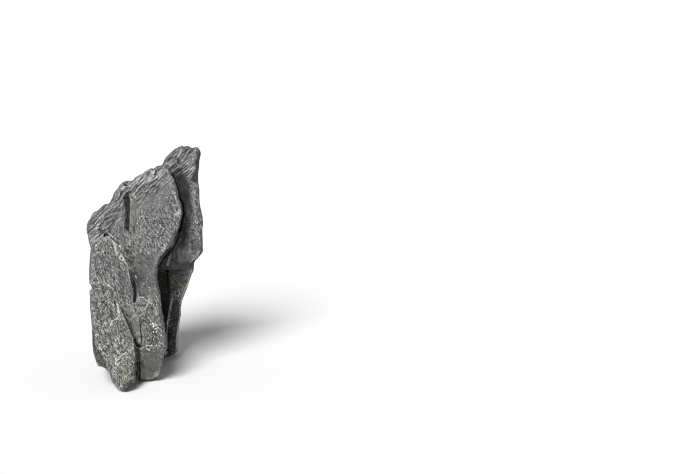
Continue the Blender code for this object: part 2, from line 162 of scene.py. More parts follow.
# The edge of the raised plate on the left, and the pocket at its foot.
PLATE_EDGE = [
    (112, 240), (116, 245), (120, 250.5), (123, 256), (127, 263), (128.5, 270), (130, 280), (132.6, 287),
    (133.2, 297), (135, 303),
]
PLATE_POCKET = [(133.6, 283), (134.8, 289), (135.2, 295), (134.6, 301)]
# The ridge on the left of the diagonal trough.
TROUGH_RIDGE = [(118, 305), (121, 312), (125, 320), (129, 328), (132, 336), (134.5, 341)]
# The thin crack, the pit and the groove between the feet, and the face of the right foot, worn nearly flat.
FOOT_CRACK = [(139.2, 319), (140.8, 325), (140.4, 331), (141.8, 336), (141.2, 341), (142.2, 346)]
FOOT_PIT = [(134.6, 340.5), (135.6, 343.5), (138, 345.5), (140.5, 346.5)]
FOOT_GROOVE = [(137.6, 347), (138.4, 356), (137.8, 366), (137.6, 379)]
RIGHT_FOOT = [(143, 351), (158, 350), (157.5, 366), (154, 380), (143, 380)]
# The break that runs in from the nick on the left.
NICK_BREAK = [(94.5, 286.5), (99, 287.5), (104, 289), (112, 289.5), (119, 291)]
# The crest, near which the beds rise to the right, and the knob's outline.
CREST_LINE = [(88, 222), (104, 206), (124, 184), (150, 170), (172, 152), (198, 148)]
KNOB = [(158, 172), (172, 140), (210, 136), (208, 182), (186, 186), (172, 180)]
# The smooth creases under the knob and over the step, each with how soft its border is.
SOFT_CREASES = [
    ([(173, 172), (197, 172), (197, 190), (175, 194)], 3),
    ([(160, 260), (193, 260), (191, 280), (160, 281)], 3),
]
# How far around a crease there are no chips, in pixels.
CREASE_MARGIN = 6
# The parts of the slab that are worn smooth: the outline, how soft its border is and how smooth it is.
SMOOTH_SLAB = [
    ([(130, 198), (136, 199), (136.5, 234), (131, 237)], 1.2, 0.95),
    ([(131, 262), (140, 255), (157, 256), (155, 275), (157, 290), (150, 300), (138, 298), (136, 285)],
     3, 0.75),
    ([(123, 307), (133, 306), (137, 314), (140, 330), (140, 342), (134, 338), (128, 324)], 2, 0.85),
    ([(146, 196), (168, 176), (172, 186), (166, 205), (144, 212)], 4, 0.6),
    ([(143, 351), (160, 353), (160, 376), (142, 380)], 2, 0.92),
]
SMOOTH_BLADE = [
    (174, 190), (185, 178), (189, 186), (189.5, 232), (198, 238), (201, 248), (193, 262), (192, 274),
    (168, 278), (160, 262), (172, 240), (178, 215),
]
# The gap beside the slab's right border lies to the right of this pixel.
GAP_LEFT = 150
# Changes across or down the picture, each from the pixel where it starts to the one where it ends: from the
# slab's blunt left border to its crisp right one, the ends of the gap, where the beds fall to the right, the
# lumps of the left part, its lighter lower part, the crest's dark rim, and the painted shade under the
# overhang.
CRISP_ACROSS = (126, 150)
GAP_TOP = (169, 177)
GAP_FOOT = (374, 360)
FALLING_DOWN = (300, 262)
FALLING_ACROSS = (116, 132)
LUMPS_ACROSS = (140, 132)
LIGHT_RIGHT = (122, 116)
LIGHT_LEFT = (90, 96)
LIGHT_DOWN = (288, 294)
RIM_DOWN = (232, 220)
OVERHANG_SHADE_DOWN = (246, 264)
# Small slits and pits in the front: the line, its width in pixels and its depth.
SLITS = [
    ([(100.5, 215.5), (103, 212.5)], 1.5, 1.6),
    ([(121.5, 187), (124.5, 185.2), (127, 185.6)], 1.2, 1.2),
    ([(146.5, 177), (150, 174.6)], 1.1, 1.0),
    ([(138, 181), (143, 177.6)], 1.0, 0.8),
    ([(143.5, 187), (147, 184)], 1.1, 1.0),
    ([(105, 252.5), (105.5, 254.5)], 1.2, 1.0),
    ([(113, 247.5), (114.5, 250)], 1.1, 0.9),
    ([(118.6, 361.6), (120.6, 360.2)], 1.8, 2.6),
    ([(131.4, 366.5), (132.4, 364)], 1.5, 2.2),
    ([(135.6, 372), (136.6, 375)], 1.8, 2.4),
    ([(97, 316), (98, 319)], 1.2, 1.4),
    ([(108, 333), (109, 336)], 1.2, 1.4),
    ([(103, 349), (104.4, 352)], 1.3, 1.5),
    ([(101.6, 285), (102.4, 287)], 1.2, 1.2),
    ([(103, 292), (104, 293.6)], 1.4, 1.2),
    ([(128, 277), (129.5, 283)], 0.9, 0.7),
]


def ease(value, low=0.0, high=1.0):
    """0 at low, 1 at high, and a smooth change between. Low may be over high."""
    share = np.clip((value - low) / (high - low), 0, 1)
    return share * share * (3 - 2 * share)


def blobs(places, ovals):
    """The sum of soft ovals, each with its strength at the centre, its centre and its half sizes."""
    total = 0.0
    for share, centre, half in ovals:
        off = (places - centre) / half
        total = total + share * np.exp(-(off**2).sum(axis=1))
    return total


def path_distance(places, path):
    """How far each place is from an open line, how far along it (0 to 1), and on which side.

    For a line that runs down the picture, the side is 1 on its left and -1 on its right.
    """
    corners = np.array(path, float)
    lengths = np.linalg.norm(np.diff(corners, axis=0), axis=1)
    best, along, side = np.full(len(places), 1e9), np.zeros(len(places)), np.ones(len(places))
    done = 0.0
    for start, end, length in zip(corners, corners[1:], lengths):
        run = end - start
        share = np.clip(((places - start) @ run) / (run @ run), 0, 1)
        off = places - start - share[:, None] * run
        gap = np.linalg.norm(off, axis=1)
        nearer = gap < best
        along = np.where(nearer, (done + share * length) / lengths.sum(), along)
        side = np.where(nearer, np.sign(run[0] * off[:, 1] - run[1] * off[:, 0]), side)
        best = np.minimum(best, gap)
        done += length
    return best, along, side


def near_line(places, path, wide, narrow):
    """1 on an open line and as far as narrow from it, and 0 from wide on."""
    return ease(path_distance(places, path)[0], wide, narrow)


def within(places, corners):
    """Which places are inside a closed outline."""
    inside = np.zeros(len(places), bool)
    for start, end in zip(corners, np.roll(corners, -1, axis=0)):
        run = end - start
        crosses = (start[1] > places[:, 1]) != (end[1] > places[:, 1])
        rise = run[1] if run[1] != 0 else 1.0
        inside ^= crosses & (places[:, 0] < start[0] + (places[:, 1] - start[1]) * run[0] / rise)
    return inside


def inside_distance(places, outline):
    """How far each place is inside a closed outline, and negative outside it."""
    corners = np.array(outline, float)
    best = path_distance(places, list(corners) + [corners[0]])[0]
    return np.where(within(places, corners), best, -best)


def area(places, outline, out, inward):
    """1 inside a closed outline and 0 outside it, with a soft border that reaches so far out and in."""
    return ease(inside_distance(places, outline), -out, inward)


def outline_gap(places, outline):
    """How far inside a closed outline each place is, and which way leads straight out of it there."""
    corners = np.array(outline, float)
    best, way = np.full(len(places), 1e9), np.zeros((len(places), 2))
    for start, end in zip(corners, np.roll(corners, -1, axis=0)):
        run = end - start
        share = np.clip(((places - start) @ run) / (run @ run), 0, 1)
        off = start + share[:, None] * run - places
        gap = np.linalg.norm(off, axis=1)
        nearer = gap < best
        best = np.where(nearer, gap, best)
        way = np.where(nearer[:, None], off / np.maximum(gap, 1e-6)[:, None], way)
    inside = within(places, corners)
    return np.where(inside, best, -best), np.where(inside[:, None], way, -way)


def scrambled(cells, seed):
    """A whole number for each cell, the same each run."""
    x, y, z = (cells[:, i].astype(np.int64) for i in range(3))
    mixed = (x * 73856093) ^ (y * 19349663) ^ (z * 83492791) ^ (seed * 2654435761)
    mixed = (mixed ^ (mixed >> 13)) * 1274126177
    mixed = mixed ^ (mixed >> 16)
    return mixed & 0xFFFFFF


def noise(places, size, seed, stretch=(1.0, 1.0, 1.0)):
    """Smooth random heights between about -1 and 1, with lumps of the given size."""
    p = places / (size * np.array(stretch))
    base = np.floor(p)
    part = p - base
    fade = part * part * part * (part * (part * 6 - 15) + 10)
    total = np.zeros(len(p))
    for corner in np.ndindex(2, 2, 2):
        mixed = scrambled(base + corner, seed)
        angle = (mixed & 0xFFF) / 4096.0 * 2 * np.pi
        height = ((mixed >> 12) & 0xFFF) / 2048.0 - 1.0
        flat = np.sqrt(1 - height * height)
        off = part - corner
        slope = off[:, 0] * flat * np.cos(angle) + off[:, 1] * flat * np.sin(angle) + off[:, 2] * height
        weight = np.prod(np.where(np.array(corner) == 1, fade, 1 - fade), axis=1)
        total += slope * weight
    return total * 1.6


def cells(places, size, seed, stretch):
    """For a scatter of points: how far the nearest one is, in cell sizes, its chance and its label."""
    p = places / (size * np.array(stretch))
    base = np.floor(p)
    first, chance, label = np.full(len(p), 9.0), np.zeros(len(p)), np.zeros(len(p), np.int64)
    for step in np.ndindex(3, 3, 3):
        cell = base + np.array(step) - 1
        mixed = scrambled(cell, seed)
        again = scrambled(cell, seed + 101)
        spot = np.stack([mixed & 0xFFF, (mixed >> 12) & 0xFFF, again & 0xFFF], axis=1) / 4096.0
        gap = np.linalg.norm(cell + spot - p, axis=1)
        nearest = gap < first
        chance = np.where(nearest, ((again >> 12) & 0xFFF) / 4096.0, chance)
        label = np.where(nearest, mixed * 4096 + (again & 0xFFF), label)
        first = np.where(nearest, gap, first)
    return first, chance, label


def turned(places, degrees):
    """The places seen from the front in axes turned by an angle: along the grain, through, and across it."""
    angle = math.radians(degrees)
    along = math.cos(angle) * places[:, 0] + math.sin(angle) * places[:, 2]
    across = -math.sin(angle) * places[:, 0] + math.cos(angle) * places[:, 2]
    return np.stack([along, places[:, 1], across], axis=1)


def read(items, name, wide, kind=float):
    """One value with so many numbers from each item of a mesh."""
    flat = np.empty(len(items) * wide, kind)
    items.foreach_get(name, flat)
    return flat.reshape(-1, wide)


def points_of(mesh):
    return read(mesh.vertices, "co", 3) / MM


def normals_of(mesh):
    return read(mesh.vertices, "normal", 3)


def edges_of(mesh):
    return read(mesh.edges, "vertices", 2, np.int32)


def set_points(mesh, points):
    mesh.vertices.foreach_set("co", (points * MM).ravel())
    mesh.update()


def evened(values, edges, rounds, factor=0.5):
    """Values at the vertices, each drawn towards the mean of its neighbours."""
    count = np.bincount(edges.ravel(), minlength=len(values)).astype(float)
    values = values.astype(float).copy()
    columns = values.reshape(len(values), -1)
    for _ in range(rounds):
        for i in range(columns.shape[1]):
            total = np.bincount(edges[:, 0], columns[edges[:, 1], i], len(values))
            total += np.bincount(edges[:, 1], columns[edges[:, 0], i], len(values))
            columns[:, i] += factor * (total / count - columns[:, i])
    return columns.reshape(values.shape)


def in_picture(points, shift):
    """The moves, in millimetres, that shift points by so many pixels and keep how far off they are."""
    far = (points - CAMERA_PLACE) @ FORWARD
    return (shift[:, :1] * RIGHT - shift[:, 1:] * UP) * (far / FOCAL_PIXELS)[:, None]


def sight_lines(points):
    """The way from the camera to each point."""
    sight = points - CAMERA_PLACE
    return sight / np.linalg.norm(sight, axis=1)[:, None]


def facing(normals, low, high):
    """How far each point faces the camera, from 0 at low to 1 at high."""
    return ease(-(normals @ FORWARD), low, high)


def slab_part(points):
    """1 in the slab and 0 in the blades behind it."""
    return ease(points[:, 1] - np.interp(points[:, 2], CLEFT_HEIGHTS, CLEFT_DEPTHS), 1.5, -1.5)


def slab_share(points, normals):
    """1 on the slab's front face."""
    return slab_part(points) * ease(-normals[:, 1], 0.05, 0.4)


def placed(name, data):
    """A new object in the scene."""
    thing = bpy.data.objects.new(name, data)
    bpy.context.scene.collection.objects.link(thing)
    return thing


def modified(thing):
    """The mesh of an object with its modifiers carried out. The object itself is removed."""
    bpy.context.view_layer.update()
    mesh = bpy.data.meshes.new_from_object(thing.evaluated_get(bpy.context.evaluated_depsgraph_get()))
    bpy.data.objects.remove(thing)
    return mesh


def fine_copy(node):
    """The CAD solid as a fine, even mesh, with its facets smoothed away."""
    source = placed("fine", node.data.copy())
    remesh = source.modifiers.new("Remesh", "REMESH")
    remesh.mode = "VOXEL"
    remesh.voxel_size = VOXEL * MM
    mesh = modified(source)
    mesh.name = "stone_surface"
    set_points(mesh, evened(points_of(mesh), edges_of(mesh), 7))
    return mesh


def lightened(mesh):
    """The mesh with no more triangles than allowed, with the flattest ones joined first."""
    holder = placed("lightened", mesh)
    decimate = holder.modifiers.new("Decimate", "DECIMATE")
    decimate.ratio = min(1.0, TRIANGLES / (2 * len(mesh.polygons)))
    return modified(holder)


def sharpened_edges(points, edges):
    """The points with the slab's and the blades' rounded borders drawn out to crisp edges."""
    behind = 1 - slab_part(points)
    for outline, share, wide, left in (
        (SLAB_OUTLINE, 1 - behind, 7.0, 0.7),
        (WHOLE_OUTLINE, behind, 8.0, 2.0),
    ):
        gap, way = outline_gap(seen(points), outline)
        on_right = ease(seen(points)[:, 0], *CRISP_ACROSS)
        wide = wide * on_right + 8 * (1 - on_right)
        left = left * on_right + 3 * (1 - on_right)
        share = share * (1 - (1 - on_right) * ease(points[:, 1], -22, -8))
        outer = np.clip(gap, 0, None)
        reach = wide * 1.7
        past = left + (outer - wide) * (reach - left) / (reach - wide)
        drawn = np.where(outer < wide, outer * left / wide, past)
        shift = np.where(outer < reach, outer - drawn, 0) * share
        moves = evened(way * shift[:, None], edges, 4)
        points = points + in_picture(points, moves)
    return undercut(trimmed(points, edges), edges)


def trimmed(points, edges):
    """The points with what stands outside the whole outline brought in to it."""
    gap, way = outline_gap(seen(points), WHOLE_OUTLINE)
    return points + in_picture(points, evened(way * np.clip(gap, None, 0)[:, None], edges, 1, 0.3))


def crease_share(points, grown):
    """1 in the creases under the knob and over the step, with their outlines grown by so many pixels."""
    spots = seen(points)
    share = np.zeros(len(points))
    for outline, soft in SOFT_CREASES:
        share = np.maximum(share, ease(inside_distance(spots, outline) + grown, -soft, soft))
    return share * (1 - slab_part(points)) * ease(points[:, 1], 40, 25)


def softened(points, edges):
    """The points with the creases under the knob and over the step smoothed away."""
    return points + (evened(points, edges, 140) - points) * crease_share(points, 0)[:, None]


def undercut(points, edges):
    """The points with a deep narrow gap beside the slab's right border, which parts it from the blades."""
    spots = seen(points)
    beyond = -outline_gap(spots, SLAB_OUTLINE)[0]
    high = ease(points[:, 2], 97, 106)
    border = np.interp(spots[:, 1], LOW_BORDER_DOWN, LOW_BORDER_ACROSS)
    floor = high * (8.0 - 3.6 * beyond) + (1 - high) * 26 * ease(spots[:, 0], border + 0.1, border - 1.3)
    share = ease(beyond, -0.5, 0.4) * ease(spots[:, 1], *GAP_TOP) * ease(spots[:, 1], *GAP_FOOT)
    share *= spots[:, 0] > GAP_LEFT
    share *= (beyond < 6 + 6 * (1 - high)) & (points[:, 1] > -50)
    push = np.clip(floor - points[:, 1], 0, 26) * share
    return points + sight_lines(points) * evened(push, edges, 1)[:, None]


def front_features(points):
    """How deep the front is worn at each point, in millimetres along the line of sight, by its features."""
    spots = seen(points)
    depth = 5.0 * area(spots, SLOT, 0.9, 1.0) + 3.0 * area(spots, ARCH_PIT, 0.7, 0.8)
    # The plate's edge is crisp over the pocket at its foot, and a shallow valley lies on its right.
    gap, along, side = path_distance(spots, PLATE_EDGE)
    sharp = (0.25 + 0.75 * ease(along, 0.35, 0.6)) * ease(along, 0.0, 0.2) * ease(along, 1.0, 0.93)
    depth += 1.2 * sharp * np.where(side < 0, ease(gap, 5.0, 0.6), ease(gap, 1.0, 0.0) * 0.5)
    valley = ease(along, 0.45, 0.7) * ease(along, 1.0, 0.72) * ease(gap, 0.6, 6.5) * ease(gap, 26, 8)
    depth += 3.0 * np.where(side < 0, valley, 0)
    depth -= 0.9 * sharp * np.where(side > 0, ease(gap, 3.2, 0.6), 0)
    depth += 4.0 * near_line(spots, PLATE_POCKET, 2.4, 0.8)
    # The trough falls steeply from the ridge on its left.
    gap, along, side = path_distance(spots, TROUGH_RIDGE)
    depth += 3.0 * np.where(side < 0, ease(gap, 6.0, 0.5), 0) * ease(along, 0.0, 0.2)
    depth -= 0.9 * ease(gap, 2.0, 0.2)
    # The crack between the feet widens on its way down to the pit and the groove.
    gap, along, _ = path_distance(spots, FOOT_CRACK)
    depth += 2.4 * ease(gap + 0.5 * noise(points, 3.0, 19), 0.7 + 0.8 * along, 0.1) * (0.4 + 0.6 * along)
    depth += 4.5 * near_line(spots, FOOT_PIT, 2.0, 0.6)
    depth += 5.5 * near_line(spots, FOOT_GROOVE, 4.2, 0.6)
    gap, along, _ = path_distance(spots, NICK_BREAK)
    depth += 1.3 * ease(gap, 1.1, 0.1) * ease(along, 1.0, 0.3)
    for path, wide, deep in SLITS:
        depth += deep * near_line(spots, path, wide, wide * 0.15)
    return depth


def grain_zones(points):
    """How far the bedding rises to the right, how far it falls to the right, and how near upright it is."""
    spots = seen(points)
    crest = path_distance(spots, CREST_LINE)[0]
    rising = ease(crest + 5 * noise(points, 14, 17), 30, 17) * ease(points[:, 2], 120, 150)
    rising = np.maximum(rising, area(spots, KNOB, 2, 6))
    down = spots[:, 1] + 6 * noise(points, 18, 18)
    falling = (1 - rising) * ease(down, *FALLING_DOWN) * ease(spots[:, 0], *FALLING_ACROSS)
    return rising, falling, 1 - rising - falling


def terraced(height, steps, sharp=0.3):
    """Heights gathered into flat steps, with steep risers between them."""
    scaled = height * steps
    base = np.floor(scaled)
    return (base + ease(scaled - base, 0.5 - sharp, 0.5 + sharp)) / steps


def fibres(places, size, seed, long):
    """Flakes that overlap along the bedding, with a sharp edge to each, and thin creases between ribs."""
    flakes = terraced(noise(places, size * 2.4, seed, (long, 2.5, 1.0)), 3.0, 0.16)
    ribs = np.abs(noise(places, size * 1.5, seed + 1, (long, 2.0, 1.0)))
    fine = np.abs(noise(places, size * 0.9, seed + 2, (long * 0.7, 2.0, 1.0)))
    return 1.0 * flakes + 1.3 * np.minimum(ribs, 0.35) + 0.8 * np.minimum(fine, 0.35)


def bedding(points):
    """Which of the crest's thin beds each point is in, counted across them, and how open its cut is."""
    places = turned(points, CREST_BEDS)
    bent = places[:, 2] + 3.4 * noise(places, 22, 23, (1.6, 1.5, 1.0))
    bent += 1.5 * noise(places, 8, 24, (2.4, 2.0, 1.0))
    return bent / 2.7, ease(noise(places, 5.0, 25, (2.6, 2.0, 1.0)), -0.15, 0.35)


def bed_height(points):
    """Thin beds, one over the other, each at a height of its own and with a narrow cut along its border."""
    count, cut = bedding(points)
    places = turned(points, CREST_BEDS)
    which = np.stack([places[:, 0], 40 * np.floor(count), places[:, 1] * 0.4], axis=1)
    near = np.abs(count - np.round(count))
    return 0.8 * noise(which, 11, 27) - 0.6 * cut * ease(near, 0.30, 0.02)


def grain_height(points, smooth):
    """The worn, flaking surface, in millimetres: flakes along the bedding, slits and fine roughness."""
    rising, falling, upright = grain_zones(points)
    height = rising * (bed_height(points) + 0.4 * fibres(turned(points, CREST_GRAIN), 1.6, 21, 6.0))
    height += 0.50 * falling * fibres(turned(points, FALLING_GRAIN), 1.6, 31, 3.0)
    height += 0.44 * upright * fibres(turned(points, UPRIGHT_GRAIN), 1.6, 41, 3.4)
    height += 0.12 * upright * fibres(turned(points, CROSS_GRAIN), 1.5, 45, 2.4)
    lumps = noise(turned(points, LEFT_GRAIN), 5.0, 48, (6.0, 2.0, 1.0))
    height += 0.75 * upright * ease(seen(points)[:, 0], *LUMPS_ACROSS) * lumps
    gap, chance, _ = cells(turned(points, CREST_GRAIN), 4.0, 51, (4.5, 2.0, 1.0))
    height -= 1.2 * rising * ease(gap, 0.34, 0.10) * (chance > 0.62)
    gap, chance, _ = cells(turned(points, SLIT_GRAIN), 3.0, 61, (2.2, 2.0, 1.0))
    height -= 0.8 * (1 - rising) * ease(gap, 0.34, 0.10) * (chance > 0.74 - 0.2 * noise(points, 26, 55))
    height += 0.5 * noise(points, 9.0, 71) * (1 - smooth)
    height += 0.16 * noise(points, 1.7, 81)
    return height * (1 - 0.85 * smooth)


def faceted(points, normals, size, seed, share, stretch):
    """The points drawn towards one plane in each cell of a scatter, as flat chips with crisp borders."""
    warped = points + 0.25 * size * np.stack([noise(points, size, seed + i) for i in range(3)], axis=1)
    label = cells(warped, size, seed, stretch)[2]
    # Chips on opposite sides of a thin part are kept apart by the way that they face.
    label = label * 8 + (normals[:, 0] > 0) * 4 + (normals[:, 1] > 0) * 2 + (normals[:, 2] > 0)
    _, chip = np.unique(label, return_inverse=True)
    count = np.bincount(chip).astype(float)
    sums = [[np.bincount(chip, values[:, i]) for i in range(3)] for values in (points, normals)]
    middle, way = (np.stack(total, axis=1) / count[:, None] for total in sums)
    way /= np.maximum(np.linalg.norm(way, axis=1), 1e-9)[:, None]
    off = ((points - middle[chip]) * way[chip]).sum(axis=1)
    off = np.clip(off, -CHIP_LIMIT, CHIP_LIMIT) * ease(count[chip], 12, 60)
    return points - way[chip] * (off * share)[:, None]


def smooth_zones(points, normals, on_slab):
    """1 where the front is worn smooth."""
    spots = seen(points)
    zone = np.max([share * area(spots, outline, soft, soft) for outline, soft, share in SMOOTH_SLAB], axis=0)
    blades = 0.7 * area(spots, SMOOTH_BLADE, 3, 3) * facing(normals, -0.1, 0.2)
    return zone * on_slab + blades * (1 - on_slab)


def openness(points, edges):
    """How much of the space in front of each point is free: 1 on an open face and near 0 deep in a cleft."""
    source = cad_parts["stone"].data
    places, ways = points_of(source), normals_of(source)
    faces = [polygon.vertices for polygon in source.polygons]
    tree = BVHTree.FromPolygons([Vector(p) for p in places], faces)
    turn = np.arange(OPEN_RAYS) * GOLDEN_ANGLE
    height = 1 - (np.arange(OPEN_RAYS) + 0.5) / OPEN_RAYS
    flat = np.sqrt(1 - height)
    rise = np.sqrt(height)
    free = np.zeros(len(places))
    for i, (place, way) in enumerate(zip(places, ways)):
        normal = Vector(way)
        side = normal.orthogonal().normalized()
        other = normal.cross(side)
        start = Vector(place) + normal * 0.6
        for a, f, r in zip(turn, flat, rise):
            ray = side * (math.cos(a) * f) + other * (math.sin(a) * f) + normal * r
            free[i] += tree.ray_cast(start, ray, OPEN_REACH)[0] is None
    free /= OPEN_RAYS
    near = KDTree(len(places))
    for i, place in enumerate(places):
        near.insert(place, i)
    near.balance()
    nearest = np.array([near.find(p)[1] for p in points])
    return evened(free[nearest], edges, 12)


def cavity(points, normals, edges):
    """How far each point lies in a crease, and how far it stands out on a thin ridge, in millimetres."""
    near = ((evened(points, edges, 3) - points) * normals).sum(axis=1)
    wide = ((evened(points, edges, 24) - points) * normals).sum(axis=1)
    return near * 1.6 + wide * 0.6, -near


def stone_mesh():
    """The stone's fine surface, with its relief and the values that its material reads."""
    mesh = fine_copy(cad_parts["stone"])
    edges = edges_of(mesh)
    set_points(mesh, sharpened_edges(softened(points_of(mesh), edges), edges))
    points, normals = points_of(mesh), normals_of(mesh)
    share = CHIP_SHARE * ease(points[:, 2], 1, 6) * (1 - crease_share(points, CREASE_MARGIN))
    points = faceted(points, normals, CHIP_SIZE, 401, share, CHIP_STRETCH)
    set_points(mesh, evened(points, edges, 1))
    points, normals = points_of(mesh), normals_of(mesh)
    worn = area(seen(points), RIGHT_FOOT, 1, 3) * slab_share(points, normals)
    points += (evened(points, edges, 70) - points) * worn[:, None]
    set_points(mesh, points)
    points, normals = points_of(mesh), normals_of(mesh)
    on_slab = slab_share(points, normals)
    lift = ease(points[:, 2], 0.5, GROUND_CLEAR)
    points += sight_lines(points) * (front_features(points) * on_slab * lift)[:, None]
    set_points(mesh, points)
    normals = normals_of(mesh)
    smooth = smooth_zones(points, normals, on_slab)
    points += normals * (grain_height(points, smooth) * lift)[:, None]
    points = trimmed(points, edges)
    points[:, 2] = np.maximum(points[:, 2], 0)
    set_points(mesh, points)
    mesh = lightened(mesh)
    for name, values in surface_values(mesh).items():
        attribute = mesh.attributes.new(name, "FLOAT", "POINT")
        attribute.data.foreach_set("value", np.asarray(values, np.float32))
    for polygon in mesh.polygons:
        polygon.use_smooth = True
    return mesh


def surface_values(mesh):
    """What the material reads at each point, by name."""
    edges, points, normals = edges_of(mesh), points_of(mesh), normals_of(mesh)
    on_slab = slab_share(points, normals)
    hollow, ridge = cavity(points, normals, edges)
    crease = area(seen(points), SOFT_CREASES[0][0], 2, 2) * (1 - slab_part(points))
    rising, falling, _ = grain_zones(points)
    bed, cut = bedding(points)
    return {
        # Crease depth and ridge height, read for the painted shade in creases and the painted highlight on
        # ridges.
        "cavity": hollow * (1 - 0.8 * crease),
        "ridge": ridge,
        "bed": bed,
        "cut": cut,
        "rising": rising,
        "falling": falling,
        "smooth": smooth_zones(points, normals, on_slab),
        "open": openness(points, edges),
        **veins(points, normals, on_slab),
        "stain": stains(points),
        "tone": tones_shade_and_highlight(points, normals),
        "cleft_shade_weight": cleft_shade_weight(points),
        # The painted highlights on the blades' lit borders.
        "border": borders(points, normals),
        "crystals": np.clip(blobs(seen(points), CRYSTALS), 0, 1) * on_slab,
    }


# Calcite veins, as lines in pixels: strong ones on the slab, strong ones on the blades, and faint ones.
VEINS = [
    [(146, 346.4), (147.4, 345.2), (149.6, 345.6), (150.4, 347.8), (149.2, 349.9), (146.8, 349.4),
     (146, 346.4)],
    [(102.4, 238.8), (102.6, 236), (104, 233.4), (107.5, 232.8), (110.5, 234.5), (113, 237)],
    [(103, 239.2), (105.5, 239.4), (109, 238.4), (112, 240.5), (115, 243.5), (117.5, 245), (121, 246.5)],
    [(112, 240.5), (115, 246), (115.5, 250.5), (118, 252), (121, 255), (123.5, 259), (125.5, 262),
     (127.4, 265), (128.4, 272), (129.4, 278)],
    [(119.6, 256.6), (121.6, 255.6), (123.5, 257.4), (123.4, 259.8), (121.4, 260.6), (119.6, 259),
     (119.6, 256.6)],
    [(116, 251), (116.6, 255)],
    [(95.5, 247), (96, 245.2), (98, 243.6), (100.5, 243), (100.6, 240.5)],
    [(98, 282), (101, 288)],
    [(108, 284.6), (113, 289)],
    [(111, 325), (112, 321), (116, 319), (119, 315.8)],
    [(108, 320), (111.6, 321.4)],
    [(116.6, 302), (117.6, 307), (118.8, 311), (120, 315)],
    [(118, 358), (121, 356), (124, 354), (127, 352), (131, 349.4), (134, 348)],
    [(135.6, 275.6), (136.8, 278.6)],
]
BLADE_VEINS = [
    [(190, 262), (193, 259.6), (197, 257.6), (201, 253.5)],
    [(192, 256), (196, 255), (200, 251)],
    [(196, 261), (199, 258)],
]
FAINT_VEINS = [
    [(139, 297), (143, 297.6), (148, 301)],
    [(150, 302), (147, 306), (142, 311)],
    [(125.6, 196), (129, 193.6), (133, 195), (136, 198)],
]
# The sheets of calcite: a place in each, in millimetres, and the way that it faces.
SHEETS = [
    ((0, 20, 60), (0.25, 0.1, 1.0)),
    ((10, 30, 130), (-0.5, 0.2, 1.0)),
    ((-30, 30, 110), (1.0, 0.5, 0.35)),
]
# The distance from a vein past which it makes no difference, in millimetres.
VEIN_REACH = 20
# Olive stains and crowds of calcite crystals: how strong each is, its centre and its half sizes, in pixels.
STAINS = [
    (0.8, (127, 378), (9, 10)), (0.8, (150, 366), (12, 16)), (0.5, (116, 330), (16, 26)),
    (0.5, (118, 250), (12, 8)), (0.5, (132, 215), (5, 24)), (0.5, (104, 300), (14, 14)),
    (0.35, (120, 360), (16, 14)), (0.3, (152, 320), (12, 24)), (0.4, (136, 258), (8, 12)),
]
CRYSTALS = [
    (1.5, (155, 332), (9, 18)), (1.2, (148, 347.6), (4, 4)), (0.8, (106, 312.5), (3, 4)),
    (0.8, (158, 236), (10, 12)), (0.6, (107, 286), (8, 6)), (0.5, (96, 273), (4, 6)),
]
# Darker and lighter areas, with painted shade in the pocket, the foot groove and the pit: the outline in
# pixels, how soft its border is and the change. First the slab's.
SLAB_TONES_AND_SHADE = [
    ([(131, 262), (140, 255), (157, 256), (155, 275), (158, 292), (150, 302), (138, 300)], 4, -0.26),
    ([(144, 196), (168, 174), (174, 186), (168, 208), (144, 214)], 4, -0.10),
    ([(112, 176), (128, 163), (158, 152), (168, 166), (166, 174), (140, 188), (122, 200)], 4, 0.16),
    ([(78, 226), (96, 206), (112, 200), (118, 216), (108, 240), (84, 244)], 4, -0.10),
    ([(138, 302), (160, 300), (165, 340), (163, 352), (142, 352), (139, 330)], 3, -0.12),
    ([(141, 352), (162, 352), (160, 384), (141, 384)], 3, -0.14),
    ([(134, 258), (158, 256), (157, 292), (150, 302), (138, 298)], 4, -0.12),
    ([(140, 190), (172, 186), (172, 212), (142, 216)], 4, -0.07),
    ([(84, 228), (116, 228), (116, 268), (84, 268)], 4, -0.06),
    ([(127, 266), (133, 270), (139, 284), (139, 298), (134, 305), (132, 296), (130, 280)], 2, -0.15),
    ([(134, 341), (140, 344), (141, 358), (140, 380), (133, 378), (135, 360)], 1.5, -0.40),
    ([(134, 339), (137, 341), (141, 345), (139, 348), (134, 344)], 1, -0.70),
    ([(125, 314), (132, 310), (137, 320), (140, 334), (138, 341), (133, 334)], 3, -0.18),
    ([(138, 303), (160, 298), (165, 340), (162, 352), (142, 352), (141, 330)], 3, -0.10),
    ([(142, 354), (160, 352), (158, 378), (142, 380)], 3, -0.12),
    ([(123, 383), (133, 380), (131, 388), (125, 392), (122.5, 389)], 1.5, -0.62),
    ([(131.4, 277), (134.4, 280), (137.2, 285), (138, 292), (136.2, 299), (134.4, 303), (133.4, 297),
      (133.2, 290), (131.8, 282)], 0.9, -0.72),
]
# Painted highlights on thin lit borders of the blades: the line in pixels, its width and how clear it is.
BLADE_RIM_HIGHLIGHTS = [
    ([(173.3, 240), (170, 255), (167.6, 265.5)], 1.1, 0.38),
    ([(172, 299), (170.4, 308), (168.9, 315), (167.8, 322), (167, 331), (166.6, 340),
      (166.2, 357.5)], 1.0, 1.0),
    ([(192.4, 270), (190.6, 277), (186.2, 287), (183.8, 294), (181.6, 300), (180.4, 304)], 1.2, 0.5),
    ([(180, 307), (180.2, 316), (179.2, 322), (177.8, 330), (176.9, 338), (176.5, 351)], 1.0, 0.45),
    ([(178.4, 250), (179, 255), (179.2, 260)], 0.8, 0.22),
]
